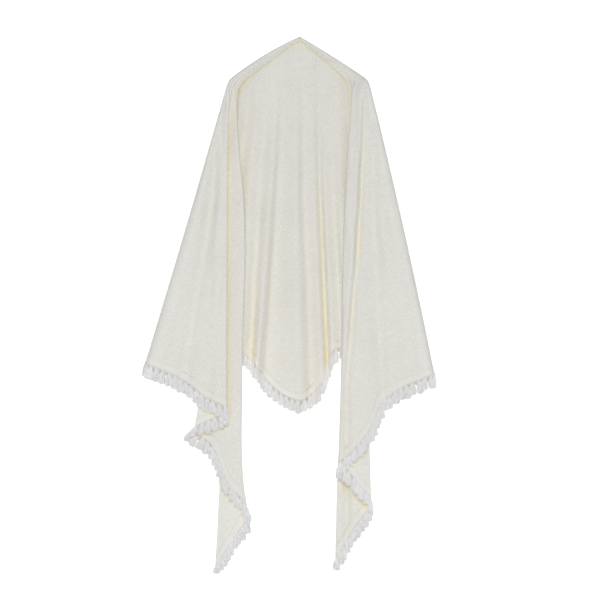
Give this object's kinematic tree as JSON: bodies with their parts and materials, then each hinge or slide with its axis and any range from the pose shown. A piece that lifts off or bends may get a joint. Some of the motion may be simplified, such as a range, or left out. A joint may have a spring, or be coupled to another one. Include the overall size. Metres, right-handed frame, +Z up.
{
  "type": "fringed shawl cloak",
  "caption": "Large three-cornered cloth cloak, hanging open from its neck and shoulder slopes, with zigzag front falls and a tasselled hem.",
  "frame": {"origin": "neck point, at the middle of the long plain edge, where a support or a wearer's neck holds the cloth", "axes": "+Z up, -Y to the front, where the cloak is open, +X to the viewer's right"},
  "size_m": [0.8894, 0.1726, 1.6361],
  "materials": {
    "cloth": "matte ivory wool and cotton weave with a fine nubby grain",
    "trim": "matte white cotton tape and loose brushed tassels"
  },
  "bodies": {
    "root": {"cloth_back": "cloth", "cloth_front_left": "cloth", "cloth_front_right": "cloth", "fringe_back": "trim", "fringe_front_left": "trim", "fringe_front_right": "trim"}
  },
  "joints": []
}
